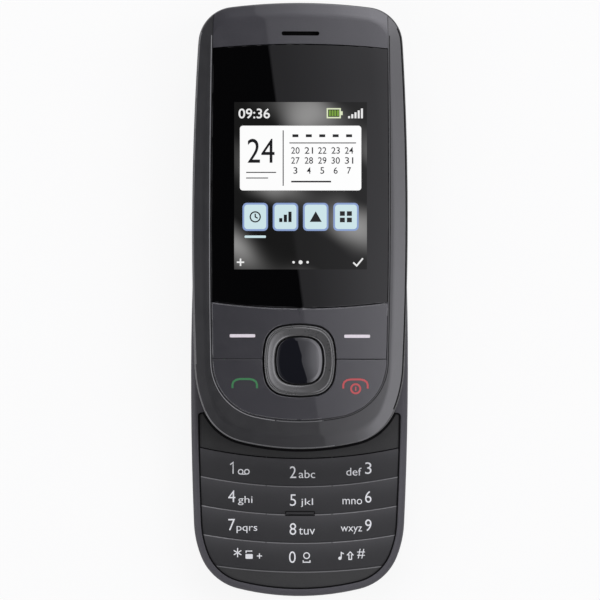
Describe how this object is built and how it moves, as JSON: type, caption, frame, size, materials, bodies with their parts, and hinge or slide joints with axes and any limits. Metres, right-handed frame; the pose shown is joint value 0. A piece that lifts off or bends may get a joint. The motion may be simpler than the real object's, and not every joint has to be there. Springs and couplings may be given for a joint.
{
  "type": "slider phone",
  "caption": "Candybar-length sliding phone: a screen half runs on a rail over a keypad half with a removable back cover.",
  "frame": {"origin": "centre of the base's rear rest face, halfway along and across the base", "axes": "+X to the right, +Y towards the earpiece (the way the slider opens), +Z out of the screen; modelled with the slider open"},
  "size_m": [0.0468, 0.1278, 0.0161],
  "materials": {
    "housing_grey": "fine satin grain, dark grey with a violet cast",
    "back_grey": "fine spark-eroded grain, dark grey",
    "key_black": "soft satin, near black",
    "front_key_grey": "fine sand-blasted grain, dark grey",
    "ring_satin": "satin grey",
    "select_gloss": "polished black",
    "window_black": "polished black acrylic",
    "lens_glass": "polished, tinted",
    "lcd_glass": "polished",
    "screw_steel": "black-oxide turned",
    "sheet_steel": "stamped sheet",
    "ring_metal": "spun",
    "rubber_black": "moulded",
    "guide_plastic": "acetal",
    "mesh_black": "woven mesh",
    "board_green": "solder mask",
    "film_clear": "polyester film",
    "flex_amber": "polyimide",
    "copper": "plated",
    "battery_label": "plain printed wrap",
    "card_white": "plain card",
    "part_black": "moulded",
    "motor_steel": "drawn"
  },
  "bodies": {
    "base": {"base_front_housing": "housing_grey", "base_rear_housing": "back_grey", "housing_screws": "screw_steel", "battery": "battery_label", "battery_connector": "guide_plastic", "sim_holder": "sheet_steel", "sim_card": "card_white", "main_board": "board_green", "shield_can": "sheet_steel", "antenna": "copper", "charger_socket": "part_black", "headset_socket": "part_black", "microphone": "rubber_black", "vibration_motor": "motor_steel", "speaker_mesh": "mesh_black", "loudspeaker": "part_black", "camera_ring": "ring_metal", "camera_window": "lens_glass", "camera_module": "part_black", "keypad_dome_sheet": "film_clear", "keypad_panel": "key_black", "slide_rail_plate": "sheet_steel", "slide_stops": "rubber_black"},
    "slider": {"slider_frame": "housing_grey", "slider_rear_cover": "back_grey", "slider_screws": "screw_steel", "slide_carriage": "sheet_steel", "slide_guides": "guide_plastic", "toggle_springs": "sheet_steel", "flex_cable": "flex_amber", "earpiece_panel": "housing_grey", "earpiece_mesh": "mesh_black", "earpiece_speaker": "part_black", "display_window": "window_black", "window_gasket": "rubber_black", "lcd_panel": "lcd_glass", "lcd_frame": "sheet_steel", "ui_board": "board_green", "slider_dome_sheet": "film_clear"},
    "rear_cover": {"rear_cover": "back_grey"},
    "vibrator_weight": {"vibrator_weight": "motor_steel"},
    "navi_pad": {"navi_pad": "rubber_black"},
    "navi_ring": {"navi_ring": "ring_satin"},
    "select_key": {"select_key": "select_gloss"},
    "key_1": {"key_1": "key_black"},
    "key_2": {"key_2": "key_black"},
    "key_3": {"key_3": "key_black"},
    "key_4": {"key_4": "key_black"},
    "key_5": {"key_5": "key_black"},
    "key_6": {"key_6": "key_black"},
    "key_7": {"key_7": "key_black"},
    "key_8": {"key_8": "key_black"},
    "key_9": {"key_9": "key_black"},
    "key_star": {"key_star": "key_black"},
    "key_0": {"key_0": "key_black"},
    "key_hash": {"key_hash": "key_black"},
    "soft_key_left": {"soft_key_left": "front_key_grey"},
    "soft_key_right": {"soft_key_right": "front_key_grey"},
    "call_key": {"call_key": "front_key_grey"},
    "end_key": {"end_key": "front_key_grey"}
  },
  "joints": [
    {"name": "slider_slide", "type": "slide", "parent": "base", "child": "slider", "axis": [0, 1, 0], "range_m": [-0.0313, 0], "deforming": ["toggle_springs", "flex_cable"]},
    {"name": "rear_cover_slide", "type": "slide", "parent": "base", "child": "rear_cover", "axis": [0, -1, 0], "range_m": [0, 0.03]},
    {"name": "vibrator_spin", "type": "hinge", "parent": "base", "child": "vibrator_weight", "pos_m": [-0.0055, -0.03175, 0.00425], "axis": [1, 0, 0], "continuous": true},
    {"name": "navi_left_right", "type": "hinge", "parent": "slider", "child": "navi_pad", "pos_m": [0, 0.00235, 0.0143], "axis": [0, 1, 0], "range_deg": [-1.2, 1.2], "stiffness_Nm_per_rad": 0.05},
    {"name": "navi_up_down", "type": "hinge", "parent": "navi_pad", "child": "navi_ring", "pos_m": [0, 0.00235, 0.0148], "axis": [1, 0, 0], "range_deg": [-1.2, 1.2], "stiffness_Nm_per_rad": 0.05},
    {"name": "select_press", "type": "slide", "parent": "slider", "child": "select_key", "axis": [0, 0, -1], "range_m": [0, 0.00025], "stiffness_N_per_m": 800},
    {"name": "soft_key_left_press", "type": "slide", "parent": "slider", "child": "soft_key_left", "axis": [0, 0, -1], "range_m": [0, 0.00025], "stiffness_N_per_m": 800},
    {"name": "soft_key_right_press", "type": "slide", "parent": "slider", "child": "soft_key_right", "axis": [0, 0, -1], "range_m": [0, 0.00025], "stiffness_N_per_m": 800},
    {"name": "call_key_press", "type": "slide", "parent": "slider", "child": "call_key", "axis": [0, 0, -1], "range_m": [0, 0.00025], "stiffness_N_per_m": 800},
    {"name": "end_key_press", "type": "slide", "parent": "slider", "child": "end_key", "axis": [0, 0, -1], "range_m": [0, 0.00025], "stiffness_N_per_m": 800},
    {"name": "key_1_press", "type": "slide", "parent": "base", "child": "key_1", "axis": [0, 0, -1], "range_m": [0, 0.00025], "stiffness_N_per_m": 800},
    {"name": "key_2_press", "type": "slide", "parent": "base", "child": "key_2", "axis": [0, 0, -1], "range_m": [0, 0.00025], "stiffness_N_per_m": 800},
    {"name": "key_3_press", "type": "slide", "parent": "base", "child": "key_3", "axis": [0, 0, -1], "range_m": [0, 0.00025], "stiffness_N_per_m": 800},
    {"name": "key_4_press", "type": "slide", "parent": "base", "child": "key_4", "axis": [0, 0, -1], "range_m": [0, 0.00025], "stiffness_N_per_m": 800},
    {"name": "key_5_press", "type": "slide", "parent": "base", "child": "key_5", "axis": [0, 0, -1], "range_m": [0, 0.00025], "stiffness_N_per_m": 800},
    {"name": "key_6_press", "type": "slide", "parent": "base", "child": "key_6", "axis": [0, 0, -1], "range_m": [0, 0.00025], "stiffness_N_per_m": 800},
    {"name": "key_7_press", "type": "slide", "parent": "base", "child": "key_7", "axis": [0, 0, -1], "range_m": [0, 0.00025], "stiffness_N_per_m": 800},
    {"name": "key_8_press", "type": "slide", "parent": "base", "child": "key_8", "axis": [0, 0, -1], "range_m": [0, 0.00025], "stiffness_N_per_m": 800},
    {"name": "key_9_press", "type": "slide", "parent": "base", "child": "key_9", "axis": [0, 0, -1], "range_m": [0, 0.00025], "stiffness_N_per_m": 800},
    {"name": "key_star_press", "type": "slide", "parent": "base", "child": "key_star", "axis": [0, 0, -1], "range_m": [0, 0.00025], "stiffness_N_per_m": 800},
    {"name": "key_0_press", "type": "slide", "parent": "base", "child": "key_0", "axis": [0, 0, -1], "range_m": [0, 0.00025], "stiffness_N_per_m": 800},
    {"name": "key_hash_press", "type": "slide", "parent": "base", "child": "key_hash", "axis": [0, 0, -1], "range_m": [0, 0.00025], "stiffness_N_per_m": 800}
  ]
}
